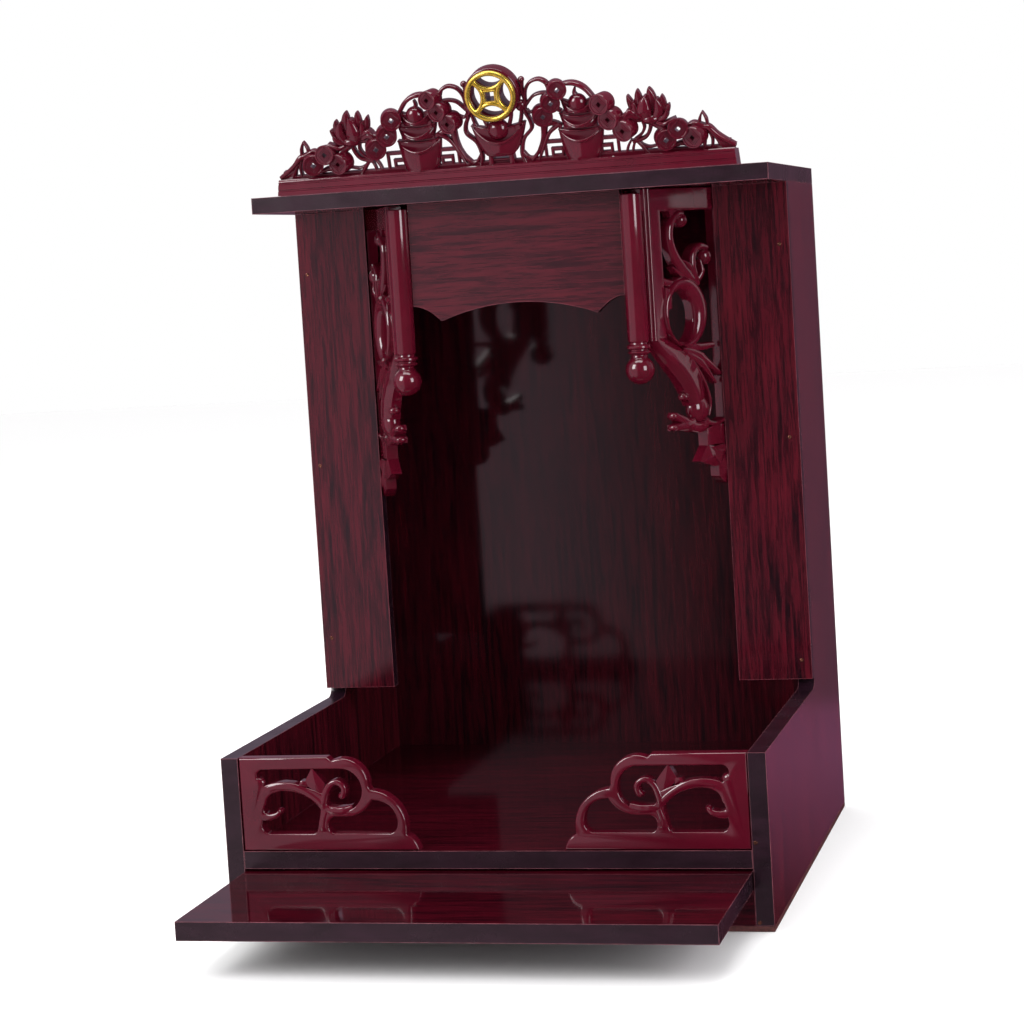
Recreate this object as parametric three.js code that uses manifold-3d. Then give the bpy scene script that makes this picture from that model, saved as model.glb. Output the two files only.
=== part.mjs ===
// Household altar cabinet of lacquered laminate board: a low-walled tray with a tall niche behind it,
// a sliding offering shelf under the tray floor, and moulded plastic openwork ornaments.
// Millimetres, +Z up, front towards -Y. Origin: centre of the cabinet's footprint, on the underside.
import * as THREE from "three";
import { mergeVertices } from "three/addons/utils/BufferGeometryUtils.js";
import Module from "manifold-3d";

const wasm = await Module();
wasm.setup();

// ---------- driving dimensions ----------
const GAP = 0.3; // clearance kept between pieces that touch

const CABINET_WIDTH = 480;
const CABINET_DEPTH = 482;
const SIDE_THICK = 15.5;
const LOW_WALL_TOP = 151;
const NICHE_TOP = 626.5; // upper edge of the tall side walls
const NICHE_DEPTH = 169; // depth of the tall part of the side walls, back sheet included
const NOTCH_RADIUS = 11; // inner corner between the low and the tall part of a side wall

const BASE_THICK = 4.3;
const BACK_THICK = 3.5;
const FLOOR_TOP = 68.7;
const FLOOR_THICK = 15.5;
const APRON_THICK = 15;

const SHELF_TOP = 51;
const SHELF_THICK = 16;
const SHELF_WIDTH = 447.2;
const SHELF_DEPTH = 440;
const SHELF_PULLED_OUT = 169.5; // how far the shelf stands out of the cabinet at rest
const RUNNER_SIZE = 15;

const TOP_THICK = 15;
const TOP_FRONT = -49.7; // front edge of the top board
const TOP_OVERHANG_LEFT = 5;

const PILASTER_WIDTH = 69.5;
const PILASTER_THICK = 13;
const PILASTER_LIFT = 10; // gap between the low wall and the foot of a pilaster

const LINTEL_FRONT = -29;
const LINTEL_THICK = 13;
const LINTEL_HALF = 100.2;
const LINTEL_CROWN = 530.8; // height of the arches' crowns
const LINTEL_CUSP_X = 74;
const LINTEL_CUSP = 517.2;

const FRET_THICK = 12;
const FRET_LENGTH = 160;

const BRACKET_THICK = 12;
const PENDANT_X = 110.5;
const PENDANT_Y = -30;
const PENDANT_RADIUS = 9.8;
const PENDANT_TOP = 622.5;
const PENDANT_FOOT = 449.5;
const BALL_RADIUS = 13.3;

const CREST_CENTRE_X = -3;
const CREST_LEAN = THREE.MathUtils.degToRad(18); // forward lean of the openwork
const CREST_FOOT_Y = -40.7; // where the openwork's face leaves the rail
const RAIL_HALF = 215;
const RAIL_FRONT = -49.5;
const RAIL_DEPTH = 24;
const RAIL_HEIGHT = 14.8;
const OPENWORK_BACK = -5; // the openwork's own thickness lies between its back and its face at 0
const MEDALLION_RADIUS = 25;
const MEDALLION_HEIGHT = 67.5;
const GOLD_RADIUS = 23.4;

// ---------- derived places ----------
const HALF_WIDTH = CABINET_WIDTH / 2;
const HALF_DEPTH = CABINET_DEPTH / 2;
const INNER_HALF = HALF_WIDTH - SIDE_THICK;
const SIDE_BACK = HALF_DEPTH - BACK_THICK - GAP;
const NICHE_FRONT = HALF_DEPTH - NICHE_DEPTH;
const TOP_UNDERSIDE = NICHE_TOP + GAP;
const TOP_SURFACE = TOP_UNDERSIDE + TOP_THICK;
const RAIL_FOOT = TOP_SURFACE + GAP;
const RAIL_TOP = RAIL_FOOT + RAIL_HEIGHT;
const PILASTER_FRONT = NICHE_FRONT - GAP - PILASTER_THICK;
const PILASTER_INNER = HALF_WIDTH - PILASTER_WIDTH;

// ---------- finishes ----------
const laminate = { color: 0x33101a, roughness: 0.22, metalness: 0 };
const plastic = { color: 0x5a1024, roughness: 0.16, metalness: 0 };
const rawSheet = { color: 0x3a1a18, roughness: 0.55, metalness: 0 };
const gold = { color: 0xd0ae2a, roughness: 0.22, metalness: 0.85 };

const cabinet = new THREE.Group();

function addPiece(name, geometry, finish) {
  const mesh = new THREE.Mesh(geometry, new THREE.MeshStandardMaterial(finish));
  mesh.name = name;
  cabinet.add(mesh);
}

// ---------- solids: joining, cutting and mirroring closed meshes ----------
function solidOf(geometry) {
  const bare = new THREE.BufferGeometry();
  bare.setAttribute("position", geometry.getAttribute("position").clone());
  if (geometry.index) bare.setIndex(geometry.index.clone());
  const merged = mergeVertices(bare, 1e-4);
  const index = merged.index.array;
  const faces = [];
  for (let i = 0; i < index.length; i += 3) {
    const [a, b, c] = index.slice(i, i + 3);
    if (a !== b && b !== c && c !== a) faces.push(a, b, c); // a face at an axis has no area
  }
  return new wasm.Manifold(new wasm.Mesh({
    numProp: 3,
    vertProperties: new Float32Array(merged.getAttribute("position").array),
    triVerts: new Uint32Array(faces),
  }));
}

function geometryOf(solid) {
  const mesh = solid.getMesh();
  const geometry = new THREE.BufferGeometry();
  geometry.setAttribute("position", new THREE.BufferAttribute(new Float32Array(mesh.vertProperties), 3));
  geometry.setIndex(new THREE.BufferAttribute(new Uint32Array(mesh.triVerts), 1));
  return geometry;
}

function joined(solids) {
  return solids.reduce((sum, next) => sum.add(next));
}

// The same piece for the other side of the cabinet: X changes sign and each face is turned round.
function mirrored(geometry) {
  const copy = geometry.clone();
  copy.scale(-1, 1, 1);
  const index = copy.index.array;
  for (let i = 0; i < index.length; i += 3) {
    [index[i + 1], index[i + 2]] = [index[i + 2], index[i + 1]];
  }
  return copy;
}

function box([x0, x1], [y0, y1], [z0, z1]) {
  const geometry = new THREE.BoxGeometry(x1 - x0, y1 - y0, z1 - z0);
  return geometry.translate((x0 + x1) / 2, (y0 + y1) / 2, (z0 + z1) / 2);
}

// The corner points of a closed line, anticlockwise and without the ones that fall on their neighbour.
function corners(points) {
  const kept = points.filter((p, i) => p.distanceTo(points[(i + 1) % points.length]) > 0.05);
  return THREE.ShapeUtils.isClockWise(kept) ? kept.reverse() : kept;
}

// A flat shape given thickness from back to front along its own Z, with chamfered edges if asked.
function slab(shape, back, front, chamfer = 0, curveSegments = 6) {
  const drawn = shape.extractPoints(curveSegments);
  const outline = new THREE.Shape(corners(drawn.shape));
  outline.holes = drawn.holes.map((hole) => new THREE.Path(corners(hole)));
  const geometry = new THREE.ExtrudeGeometry(outline, {
    depth: front - back - 2 * chamfer,
    bevelEnabled: chamfer > 0,
    bevelThickness: chamfer,
    bevelSize: chamfer,
    bevelOffset: -chamfer,
    bevelSegments: 1,
  });
  return geometry.translate(0, 0, back + chamfer);
}

// Turns a slab drawn in X and Z so that its front faces -Y at the given place.
function facingFront(geometry, frontY, thickness) {
  return geometry.rotateX(Math.PI / 2).translate(0, frontY + thickness, 0);
}

// ---------- flat shapes ----------
function rectangle(x0, x1, y0, y1) {
  return new THREE.Shape([[x0, y0], [x1, y0], [x1, y1], [x0, y1]].map((p) => new THREE.Vector2(...p)));
}

// Points along a circular arc, its two ends included.
function arc(x, y, radius, from, to, steps) {
  return Array.from({ length: steps + 1 }, (_, i) => {
    const angle = from + (to - from) * i / steps;
    return new THREE.Vector2(x + radius * Math.cos(angle), y + radius * Math.sin(angle));
  });
}

function disc(x, y, radius, steps = 12) {
  return new THREE.Shape(arc(x, y, radius, 0, 2 * Math.PI, steps));
}

// Width along a stroke: the listed widths are spread evenly over its length.
function widthAt(widths, along) {
  const place = along * (widths.length - 1);
  const low = Math.min(Math.floor(place), widths.length - 2);
  return THREE.MathUtils.lerp(widths[low], widths[low + 1], place - low);
}

// A stroke of varying width along a smooth line through a few points.
function stroke(points, widths, steps = points.length) {
  const line = new THREE.SplineCurve(points.map((p) => new THREE.Vector2(...p)));
  const left = [];
  const right = [];
  for (let i = 0; i <= steps; i++) {
    const centre = line.getPoint(i / steps);
    const along = line.getTangent(i / steps);
    const half = widthAt(widths, i / steps) / 2;
    left.push(new THREE.Vector2(centre.x - along.y * half, centre.y + along.x * half));
    right.unshift(new THREE.Vector2(centre.x + along.y * half, centre.y - along.x * half));
  }
  return new THREE.Shape([...left, ...right]);
}

// A pointed petal or leaf from its root to its tip, widest at the middle.
function petal([x0, y0], [x1, y1], width) {
  const side = new THREE.Vector2(y0 - y1, x1 - x0).setLength(width);
  const middle = new THREE.Vector2((x0 + x1) / 2, (y0 + y1) / 2);
  return new THREE.Shape()
    .moveTo(x0, y0)
    .quadraticCurveTo(middle.x - side.x, middle.y - side.y, x1, y1)
    .quadraticCurveTo(middle.x + side.x, middle.y + side.y, x0, y0);
}

// ---------- boards ----------
function sidePanelGeometry() {
  const shape = new THREE.Shape()
    .moveTo(-HALF_DEPTH, BASE_THICK + GAP)
    .lineTo(SIDE_BACK, BASE_THICK + GAP)
    .lineTo(SIDE_BACK, NICHE_TOP)
    .lineTo(NICHE_FRONT, NICHE_TOP)
    .lineTo(NICHE_FRONT, LOW_WALL_TOP + NOTCH_RADIUS)
    .absarc(NICHE_FRONT - NOTCH_RADIUS, LOW_WALL_TOP + NOTCH_RADIUS, NOTCH_RADIUS, 0, -Math.PI / 2, true)
    .lineTo(-HALF_DEPTH, LOW_WALL_TOP);
  const geometry = slab(shape, INNER_HALF, HALF_WIDTH);
  // drawn in Y and Z, with the thickness along X
  const turn = new THREE.Matrix4().makeBasis(
    new THREE.Vector3(0, 1, 0), new THREE.Vector3(0, 0, 1), new THREE.Vector3(1, 0, 0));
  return geometryOf(solidOf(geometry.applyMatrix4(turn)));
}

const sidePanel = sidePanelGeometry();
addPiece("side_panel_right", sidePanel, laminate);
addPiece("side_panel_left", mirrored(sidePanel), laminate);

addPiece("bottom_sheet",
  box([-HALF_WIDTH, HALF_WIDTH], [-HALF_DEPTH, HALF_DEPTH], [0, BASE_THICK]), rawSheet);
addPiece("back_sheet",
  box([-HALF_WIDTH, HALF_WIDTH], [HALF_DEPTH - BACK_THICK, HALF_DEPTH], [BASE_THICK + GAP, NICHE_TOP]), laminate);

const boardHalf = INNER_HALF - GAP;
addPiece("floor_board",
  box([-boardHalf, boardHalf], [-HALF_DEPTH, SIDE_BACK], [FLOOR_TOP - FLOOR_THICK, FLOOR_TOP]), laminate);
const apronTop = SHELF_TOP - SHELF_THICK - GAP;
addPiece("apron_board",
  box([-boardHalf, boardHalf], [-HALF_DEPTH, -HALF_DEPTH + APRON_THICK], [BASE_THICK + GAP, apronTop]), laminate);

const shelfFront = -HALF_DEPTH - SHELF_PULLED_OUT;
addPiece("pull_out_shelf",
  box([-SHELF_WIDTH / 2, SHELF_WIDTH / 2], [shelfFront, shelfFront + SHELF_DEPTH],
    [SHELF_TOP - SHELF_THICK, SHELF_TOP]), laminate);

for (const [side, name] of [[-1, "shelf_runner_left"], [1, "shelf_runner_right"]]) {
  const across = [side * boardHalf, side * (boardHalf - RUNNER_SIZE)].sort((a, b) => a - b);
  addPiece(name,
    box(across, [-HALF_DEPTH + APRON_THICK + GAP, SIDE_BACK], [apronTop - RUNNER_SIZE, apronTop]), rawSheet);
}

for (const [side, name] of [[-1, "pilaster_left"], [1, "pilaster_right"]]) {
  const across = [side * PILASTER_INNER, side * HALF_WIDTH].sort((a, b) => a - b);
  addPiece(name,
    box(across, [PILASTER_FRONT, PILASTER_FRONT + PILASTER_THICK], [LOW_WALL_TOP + PILASTER_LIFT, NICHE_TOP]),
    laminate);
}

addPiece("top_board",
  box([-HALF_WIDTH - TOP_OVERHANG_LEFT, HALF_WIDTH], [TOP_FRONT, HALF_DEPTH], [TOP_UNDERSIDE, TOP_SURFACE]),
  laminate);

// The lintel's lower edge: one wide shallow arch between two cusps, and half an arch at each end.
function lintelGeometry() {
  const rise = LINTEL_CROWN - LINTEL_CUSP;
  const radius = (LINTEL_CUSP_X ** 2 + rise ** 2) / (2 * rise);
  const half = Math.asin(LINTEL_CUSP_X / radius);
  const shape = new THREE.Shape()
    .moveTo(-LINTEL_HALF, NICHE_TOP)
    .lineTo(-LINTEL_HALF, LINTEL_CROWN + 1)
    .quadraticCurveTo(-LINTEL_CUSP_X - 14, LINTEL_CROWN + 1, -LINTEL_CUSP_X, LINTEL_CUSP)
    .absarc(0, LINTEL_CROWN - radius, radius, Math.PI / 2 + half, Math.PI / 2 - half, true)
    .quadraticCurveTo(LINTEL_CUSP_X + 14, LINTEL_CROWN + 1, LINTEL_HALF, LINTEL_CROWN + 1)
    .lineTo(LINTEL_HALF, NICHE_TOP);
  return facingFront(slab(shape, 0, LINTEL_THICK, 0, 9), LINTEL_FRONT, LINTEL_THICK);
}
addPiece("lintel_board", geometryOf(solidOf(lintelGeometry())), laminate);

// ---------- corner fretwork of the tray's front ----------
// Drawn as the right-hand piece, X measured from the cabinet's middle and Y up from the tray floor.
const FRET_HEIGHT = LOW_WALL_TOP - FLOOR_TOP - GAP;
const fretOuter = INNER_HALF - 2 * GAP;
const fretInner = fretOuter - FRET_LENGTH;

function fretworkGeometry() {
  const outline = new THREE.Shape()
    .moveTo(fretInner, 0)
    .lineTo(fretOuter, 0)
    .lineTo(fretOuter, FRET_HEIGHT)
    .lineTo(143, FRET_HEIGHT)
    .absarc(130, 57.5, 23.3, THREE.MathUtils.degToRad(66), THREE.MathUtils.degToRad(184), false)
    .absarc(107.5, 19.5, 33.3, THREE.MathUtils.degToRad(94), THREE.MathUtils.degToRad(190), false)
    .quadraticCurveTo(fretInner + 3, 11, fretInner, 0);
  const slotTop = 71.5;
  outline.holes.push(
    // the upper slot, round at the lobe end; its lower edge is the back of the arm
    new THREE.Path()
      .moveTo(202, slotTop)
      .lineTo(131.5, slotTop)
      .absarc(131.5, 53, 18.5, Math.PI / 2, THREE.MathUtils.degToRad(318), false)
      .lineTo(149, 50)
      .quadraticCurveTo(168, 58.5, 184, 60.5)
      .quadraticCurveTo(196, 60.5, 202.5, 57)
      .absarc(202, slotTop - 6, 6, -Math.PI / 3, Math.PI / 2, false),
    // the lower outer opening, under the arm
    new THREE.Path()
      .moveTo(157, 15)
      .lineTo(199, 15)
      .absarc(199, 22, 7, -Math.PI / 2, 0, false)
      .lineTo(204, 30)
      .lineTo(201, 40)
      .quadraticCurveTo(200, 52, 184, 52.5)
      .quadraticCurveTo(164, 52.5, 150.5, 35)
      .quadraticCurveTo(153.5, 24, 157, 15),
    // the lower inner opening, under the second lobe
    new THREE.Path()
      .moveTo(144, 15)
      .lineTo(89, 15)
      .quadraticCurveTo(82, 17, 82.5, 26)
      .quadraticCurveTo(85, 43, 104, 44)
      .quadraticCurveTo(112, 30, 128, 29.5)
      .lineTo(142, 29.5)
      .quadraticCurveTo(149.5, 25, 144, 15),
  );
  const scroll = stroke([[149, 36], [146, 50], [140, 58], [132.5, 56], [130.5, 49], [134, 45]], [9, 5.5, 5.5, 4], 10);
  const curl = stroke([[207, 32], [198, 31], [191, 32], [187.5, 35]], [8, 6, 4]);
  const lozenge = new THREE.Shape([[157, 72], [165, 59.5], [150, 47], [146, 58]].map((p) => new THREE.Vector2(...p)));
  const solid = joined([
    solidOf(slab(outline, 0, FRET_THICK, 0, 4)),
    solidOf(slab(scroll, 0.5, FRET_THICK - 1)),
    solidOf(slab(curl, 0.5, FRET_THICK - 1)),
    solidOf(slab(lozenge, 0.5, FRET_THICK - 0.5)),
  ]);
  return facingFront(geometryOf(solid), -HALF_DEPTH, FRET_THICK).translate(0, 0, FLOOR_TOP + GAP);
}

const fretwork = fretworkGeometry();
addPiece("fretwork_right", fretwork, plastic);
addPiece("fretwork_left", mirrored(fretwork), plastic);

// ---------- brackets: an openwork wing with a pendant on its front edge ----------
// Drawn with X from the pendant's axis out to the pilaster, Y up, and the carved face at +Z.
function wingSolid() {
  const face = BRACKET_THICK / 2;
  const frameTop = NICHE_TOP - GAP;
  const frame = new THREE.Shape([
    [5, 489], [34, 489], [34, 500], [34, 606], [112, 606], [112, 404], [88, 404], [62, 403], [84, 383], [119, 383],
    [121, 404], [121, frameTop], [5, frameTop],
  ].map((p) => new THREE.Vector2(...p)));
  const ring = new THREE.Shape().absellipse(61, 512, 31.5, 33, 0, 2 * Math.PI, false, 0);
  ring.holes.push(new THREE.Path().absellipse(55, 508, 19, 24.5, 0, 2 * Math.PI, false, 0));
  const parts = [
    [frame, -face, face],
    [ring, -face, face + 3, 1, 7],
    // the two upper scrolls, each with a ball at its end
    [stroke([[76, 541], [62, 551], [49, 568], [46.5, 584], [53, 598], [63, 603]], [13, 11, 9, 7, 8]), -4, face],
    [disc(66, 597, 7, 10), -4, face + 2],
    [stroke([[81, 537], [76.5, 550], [77.5, 562], [86, 571], [97, 569]], [9, 7, 6, 8]), -4, face],
    [disc(96.5, 561, 7.5, 10), -4, face + 2],
    [stroke([[54, 610], [56, 603]], [16, 10], 1), -4, face - 1],
    [petal([70, 543], [50, 553], 5), -4, face - 1],
    // the lower leaf, sweeping out and down from the pendant side into a rounded end
    [stroke([[22, 489], [42, 473], [60, 457], [71, 441], [76, 424]], [14, 22, 26, 27, 24]), -face, face + 3, 2.5],
    [disc(76, 420, 13), -face, face + 3, 2.5],
    [stroke([[78, 407], [64, 408], [52, 414], [42, 412]], [9, 13, 14, 9]), -face, face + 1],
    [petal([46, 409], [38, 406], 5), -4, face],
    // leaflets reaching the outer stile
    [petal([60, 476], [114, 453], 9), -4, face - 0.5],
    [petal([62, 480], [93, 478], 5), -4, face - 1],
    [petal([66, 473], [98, 447], 8), -4, face + 1],
    // the drooping leaves at the foot
    [new THREE.Shape([[84, 386], [72, 372], [92, 366], [98, 356], [106, 349], [121, 346.5], [121, 386]]
      .map((p) => new THREE.Vector2(...p))), -face, face, 2],
  ];
  return joined(parts.map(([shape, back, front, chamfer, rounding]) =>
    solidOf(slab(shape, back, front, chamfer, rounding ?? 2))));
}

function pendantSolid() {
  const r = PENDANT_RADIUS;
  const ballCentre = PENDANT_FOOT + BALL_RADIUS;
  const profile = [
    [0, PENDANT_TOP], [r, PENDANT_TOP], [r, 489], [r - 1.8, 487], [r + 1.3, 485.5], [r + 1.3, 482],
    [r - 1.4, 481], [r + 0.6, 478.5], [r - 2.4, 476],
  ];
  for (let step = 2; step <= 7; step++) {
    const angle = (step / 7) * Math.PI;
    const radius = step === 7 ? 0 : BALL_RADIUS * Math.sin(angle);
    profile.push([radius, ballCentre + BALL_RADIUS * Math.cos(angle)]);
  }
  const points = profile.map((p) => new THREE.Vector2(...p)).reverse();
  return solidOf(new THREE.LatheGeometry(points, 10));
}

function bracketGeometry() {
  const reachX = PILASTER_INNER - PENDANT_X;
  const reachY = NICHE_FRONT + 1 - PENDANT_Y;
  const along = new THREE.Vector3(reachX, reachY, 0).normalize();
  const up = new THREE.Vector3(0, 0, 1);
  const place = new THREE.Matrix4()
    .makeBasis(along, up, along.clone().cross(up))
    .setPosition(PENDANT_X, PENDANT_Y, 0);
  const wing = geometryOf(wingSolid()).applyMatrix4(place);
  const turned = new THREE.Matrix4().makeRotationX(Math.PI / 2);
  const rod = geometryOf(pendantSolid()).applyMatrix4(turned).translate(PENDANT_X, PENDANT_Y, 0);
  const pilasterSpace = box([PILASTER_INNER - GAP, HALF_WIDTH], [PILASTER_FRONT - GAP, NICHE_FRONT],
    [0, NICHE_TOP + TOP_THICK]);
  const lintelSpace = box([0, LINTEL_HALF + GAP], [LINTEL_FRONT - GAP, LINTEL_FRONT + LINTEL_THICK + GAP],
    [LINTEL_CUSP - GAP, NICHE_TOP + TOP_THICK]);
  return geometryOf(solidOf(wing).add(solidOf(rod)).subtract(solidOf(pilasterSpace)).subtract(solidOf(lintelSpace)));
}

const bracket = bracketGeometry();
addPiece("bracket_right", bracket, plastic);
addPiece("bracket_left", mirrored(bracket), plastic);

// ---------- crest: a moulded rail with leaning openwork of coins, ingots, lotus and ribbons ----------
// Drawn with X from the middle, Y up the lean from the rail and Z forwards; the right half is mirrored.

// A round coin of the old pierced kind: a rim and four arcs that leave a square hole between them.
// The arcs' centres stand so far out that neighbouring arcs keep a strut between them.
function piercedCoin(radius) {
  const rimInner = 19;
  const arcRadius = 14.2;
  const arcOut = 22.2;
  const cosine = (rimInner ** 2 + arcOut ** 2 - arcRadius ** 2) / (2 * rimInner * arcOut);
  const reach = Math.acos(cosine);
  const swing = Math.atan2(rimInner * Math.sin(reach), arcOut - rimInner * cosine);
  const shape = disc(0, 0, radius, 24);
  for (let quarter = 0; quarter < 4; quarter++) {
    const out = quarter * Math.PI / 2;
    shape.holes.push(new THREE.Path([
      ...arc(0, 0, rimInner, out - reach, out + reach, 4),
      ...arc(arcOut * Math.cos(out), arcOut * Math.sin(out), arcRadius, out + Math.PI - swing, out + Math.PI + swing, 5),
    ]));
  }
  shape.holes.push(new THREE.Path(rectangle(-4.4, 4.4, -4.4, 4.4).getPoints()));
  return shape;
}

function smallCoin(x, y, radius) {
  const shape = disc(x, y, radius, 10);
  const hole = 0.33 * radius;
  shape.holes.push(new THREE.Path([[hole, 0], [0, hole], [-hole, 0], [0, -hole]]
    .map(([dx, dy]) => new THREE.Vector2(x + dx, y + dy))));
  return shape;
}

// The front of a boat-shaped ingot: a flat foot, flaring sides, two raised tips and a sagging rim.
function ingot(x, footY, footHalf, tipY, tipHalf, rimY) {
  return new THREE.Shape()
    .moveTo(x - footHalf, footY)
    .lineTo(x + footHalf, footY)
    .quadraticCurveTo(x + tipHalf - 1, footY + 0.45 * (tipY - footY), x + tipHalf, tipY)
    .quadraticCurveTo(x, 2 * rimY - tipY, x - tipHalf, tipY)
    .quadraticCurveTo(x - tipHalf + 1, footY + 0.45 * (tipY - footY), x - footHalf, footY);
}

// A dome standing on the crest, its axis pointing forwards.
function dome(x, y, radius, back) {
  const profile = [[0, back]];
  for (let step = 0; step <= 2; step++) {
    const angle = (step / 3) * Math.PI / 2;
    profile.push([radius * Math.cos(angle), radius * 0.85 * Math.sin(angle)]);
  }
  profile.push([0, radius * 0.85]);
  const geometry = new THREE.LatheGeometry(profile.map((p) => new THREE.Vector2(...p)), 8);
  return solidOf(geometry.rotateX(Math.PI / 2).translate(x, y, 0));
}

const openworkFace = 0;
const coinFace = 11;

function ribbonSlabs() {
  const strokes = [
    // ribbon from the rail up beside the ingot and the medallion, and its ties to them
    [[[21, 0], [18.8, 10], [22, 22], [30.3, 31], [30.2, 39], [26.5, 48], [27.8, 57], [26, 66], [27, 77]], [3.4, 3], 9],
    [[[20, 33], [22, 42], [24, 52]], [3.5, 2.8], 2],
    [[[20, 54], [28, 53]], [10, 8], 1],
    // leaf loops between the ribbon and the inner coins
    [[[27.5, 55], [28.8, 66], [34, 73.5], [42, 76], [48, 73], [51, 68]], [2.8, 3.2]],
    [[[28, 53], [35, 60.5], [42, 63], [49, 63]], [2.8, 2.8], 3],
    // tapering ribbon ends from the inner coins down to the rail
    [[[42, 38], [41, 24], [36.5, 12], [28, 2]], [6, 4, 3], 3],
    [[[56, 33], [46.5, 26], [38, 10]], [4, 3, 2], 2],
    [[[45, 34], [58, 31]], [5, 4], 1],
    [[[50, 51], [60, 45]], [4, 3], 1],
    // arc over the stack of ingots
    [[[62, 68], [74, 69.5], [83, 65], [91, 55]], [3.2, 3.2]],
    // stems and leaves about the lotus
    [[[121, 14], [114.5, 0]], [2.4, 2.4], 1],
    [[[124, 15], [130.5, 7], [135, 0]], [3, 4], 2],
    [[[140, 33], [139, 24], [134, 15.5], [124, 13]], [4, 3, 3.4]],
    [[[108, 29], [117, 33], [130, 33]], [5, 6], 2],
    [[[140, 31], [155, 20]], [7, 6], 1],
    // bud, and the leaf scroll that runs down to the rail's end
    [[[183.6, 20], [184, 28], [187, 34]], [2.4, 2.4, 1], 2],
    [[[190.6, 20], [190, 28], [187, 34]], [2.4, 2.4, 1], 2],
    [[[180, 20], [191, 20.5], [198, 13.5], [205, 7.5], [214, 1]], [5, 5, 4, 3.5, 3]],
    [[[186, 20], [187, 10], [185, 0]], [3, 3], 2],
    [[[190, 20], [193.6, 10], [192.5, 0]], [2.6, 2.6], 2],
    [[[194, 15], [199, 8], [203, 0]], [3, 5, 8], 2],
    [[[201, 7], [213, 0]], [8, 2], 1],
  ];
  return strokes.map(([points, widths, steps]) => slab(stroke(points, widths, steps), OPENWORK_BACK, openworkFace));
}

// Key fret beside the ingots: an outer hook and a small closed link, opening away from the stack.
function fretSlabs(outerX, towards) {
  const at = (x, y) => new THREE.Vector2(outerX + towards * x, y);
  const hook = new THREE.Shape([at(0, 0), at(2.3, 0), at(2.3, 15.8), at(17, 15.8), at(17, 19), at(0, 19)]);
  const link = new THREE.Shape([at(6.2, 0), at(18, 0), at(18, 12), at(6.2, 12)]);
  link.holes.push(new THREE.Path([at(8.4, 5.4), at(15.8, 5.4), at(15.8, 8.8), at(8.4, 8.8)]));
  return [hook, link].map((shape) => slab(shape, OPENWORK_BACK, openworkFace));
}

function rightHalfSlabs() {
  const back = OPENWORK_BACK;
  const coins = [
    [58.8, 66.5, 8.8], [51.5, 55.1, 8.8], [42.9, 43.9, 9],
    [98.6, 50.4, 9.4], [105, 36.3, 9.4], [117.1, 25.2, 9.6],
    [165, 22, 9.3], [152, 13.4, 9.6], [179.4, 14.3, 9.8],
  ].map(([x, y, radius], i) => slab(smallCoin(x, y, radius), back, coinFace - 0.4 * (i % 3)));
  const stack = [
    slab(ingot(76, 43, 11, 56, 15.5, 45.5), back, 6, 0, 3),
    slab(ingot(76, 30, 13, 43.5, 18, 32.5), back, 8, 0, 3),
    slab(ingot(75.6, -1, 12.5, 28, 20.5, 19), back, 10, 2, 3),
    slab(rectangle(60.5, 90, 27, 46), back, 3),
  ];
  const lotus = [
    [[140, 30], [121.5, 55], 7, 1], [[140, 30], [158.5, 43.5], 7, 1],
    [[139, 28], [131, 59], 8, 3], [[141, 28], [151.5, 52.5], 8, 3], [[140, 28], [141.5, 60], 8, 2],
    [[139, 26], [137, 53], 10, 8], [[143, 26], [147, 47], 7, 6],
  ].map(([root, tip, width, front]) => slab(petal(root, tip, width), back, front, 0, 3));
  return [
    ...ribbonSlabs(), ...fretSlabs(39.8, 1), ...fretSlabs(109.3, -1), ...coins, ...stack, ...lotus,
    slab(petal([75.5, 55], [75, 68], 2.5), back, 3, 0, 2),
    slab(disc(140, 30.5, 7, 8), back, 5),
  ];
}

function crestGeometry() {
  const half = joined([
    ...rightHalfSlabs().map(solidOf),
    dome(76, 52, 8.8, OPENWORK_BACK),
  ]);
  const middle = [
    slab(rectangle(-208, 208, -4, 3.8), OPENWORK_BACK, openworkFace),
    slab(ingot(0, 9.5, 9.5, 37, 25, 22), OPENWORK_BACK, 9, 2.5, 4),
    slab(ingot(0, 20, 15, 38, 24.5, 33), OPENWORK_BACK, 3, 0, 3),
    slab(rectangle(-12, -7.5, 0, 11), OPENWORK_BACK, 4),
    slab(rectangle(7.5, 12, 0, 11), OPENWORK_BACK, 4),
  ].map(solidOf);
  const medallion = slab(piercedCoin(MEDALLION_RADIUS), OPENWORK_BACK, 12).translate(0, MEDALLION_HEIGHT, 0);
  const openwork = joined([
    half, solidOf(mirrored(geometryOf(half))), ...middle, dome(0, 34, 10, OPENWORK_BACK), solidOf(medallion),
  ]);
  const profile = new THREE.Shape([
    [0, 0], [0, 3.4], [0.9, 4], [0.9, 4.9], [0, 5.6], [0, 9.8], [0.9, 10.4], [0.9, 11.2], [0.3, 11.8],
    [1.8, RAIL_HEIGHT], [RAIL_DEPTH, RAIL_HEIGHT], [RAIL_DEPTH, 0],
  ].map((p) => new THREE.Vector2(...p)));
  // the rail's section is drawn in Y and Z and runs along X
  const along = new THREE.Matrix4().makeBasis(
    new THREE.Vector3(0, 1, 0), new THREE.Vector3(0, 0, 1), new THREE.Vector3(1, 0, 0));
  const rail = slab(profile, -RAIL_HALF, RAIL_HALF).applyMatrix4(along).translate(0, RAIL_FRONT, RAIL_FOOT);
  const leaning = geometryOf(openwork).applyMatrix4(crestPlacement());
  return geometryOf(solidOf(leaning).add(solidOf(rail))).translate(CREST_CENTRE_X, 0, 0);
}

function crestPlacement() {
  return new THREE.Matrix4()
    .makeRotationX(Math.PI / 2 + CREST_LEAN)
    .setPosition(0, CREST_FOOT_Y, RAIL_TOP);
}
addPiece("crest", crestGeometry(), plastic);

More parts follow.
